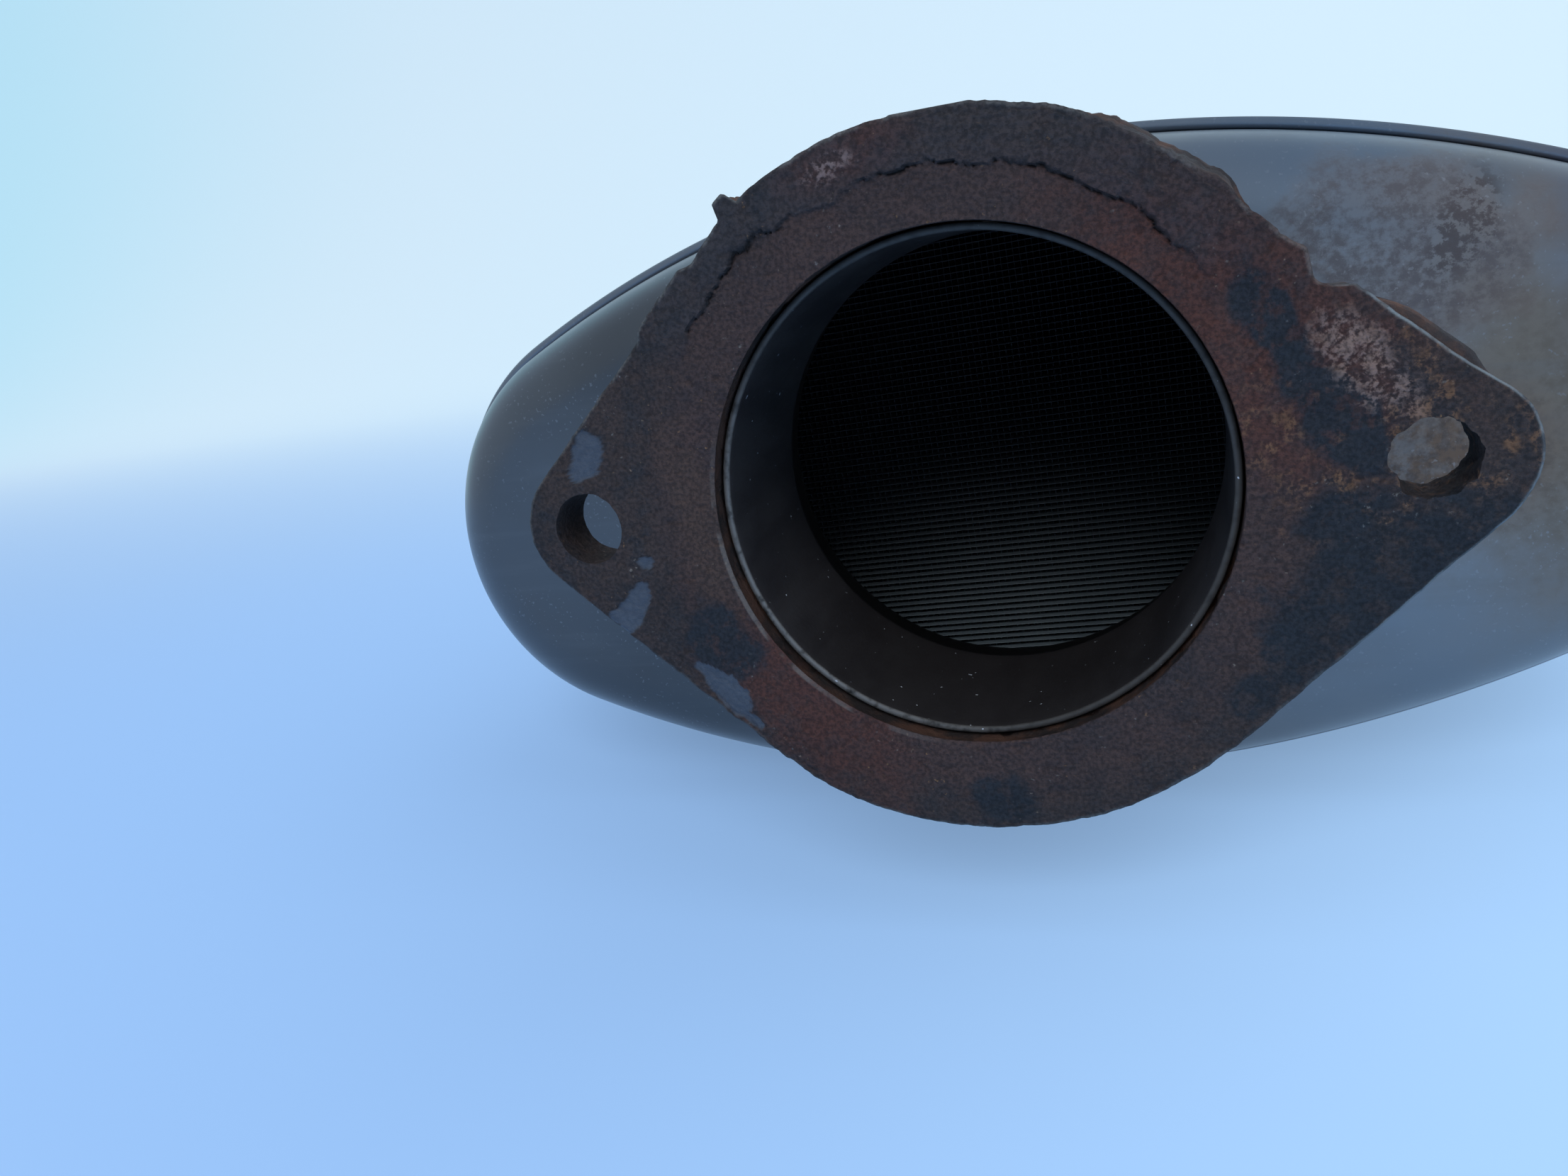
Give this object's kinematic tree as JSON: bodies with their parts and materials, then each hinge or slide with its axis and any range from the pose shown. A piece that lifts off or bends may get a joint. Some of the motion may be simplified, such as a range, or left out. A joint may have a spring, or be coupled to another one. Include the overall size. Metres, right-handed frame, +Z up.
{
  "type": "catalytic converter",
  "caption": "Oval stainless catalytic converter with round-to-oval end caps, ceramic honeycomb bricks inside and a rusted flange with bolt holes on each pipe end.",
  "frame": {"origin": "centre of the inlet bore on the inlet flange's mating face", "axes": "+Y along the gas flow, from the inlet into the can; +X along the inlet's bolt-hole line; +Z up. The can lies on its flat side."},
  "size_m": [0.1786, 0.3158, 0.0904],
  "materials": {
    "rusted_flange": "rough brown rust scale",
    "pipe_steel": "sooted, bright worn rim",
    "can_stainless": "satin, heat-tinted",
    "weld": "rough, rusted",
    "honeycomb_ceramic": "matt washcoat",
    "support_mat": "fibrous",
    "wire_mesh": "knitted wire"
  },
  "bodies": {
    "root": {"inlet_flange": "rusted_flange", "inlet_pipe": "pipe_steel", "inlet_flange_weld": "weld", "inlet_neck_weld": "weld", "inlet_end_cap": "can_stainless", "can_shell": "can_stainless", "can_seam_weld": "weld", "front_monolith": "honeycomb_ceramic", "front_mat": "support_mat", "front_mat_upstream_seal": "wire_mesh", "front_mat_downstream_seal": "wire_mesh", "rear_monolith": "honeycomb_ceramic", "rear_mat": "support_mat", "rear_mat_upstream_seal": "wire_mesh", "rear_mat_downstream_seal": "wire_mesh", "outlet_end_cap": "can_stainless", "outlet_neck_weld": "weld", "outlet_pipe": "pipe_steel", "outlet_flange_weld": "weld", "outlet_flange": "rusted_flange"}
  },
  "joints": []
}
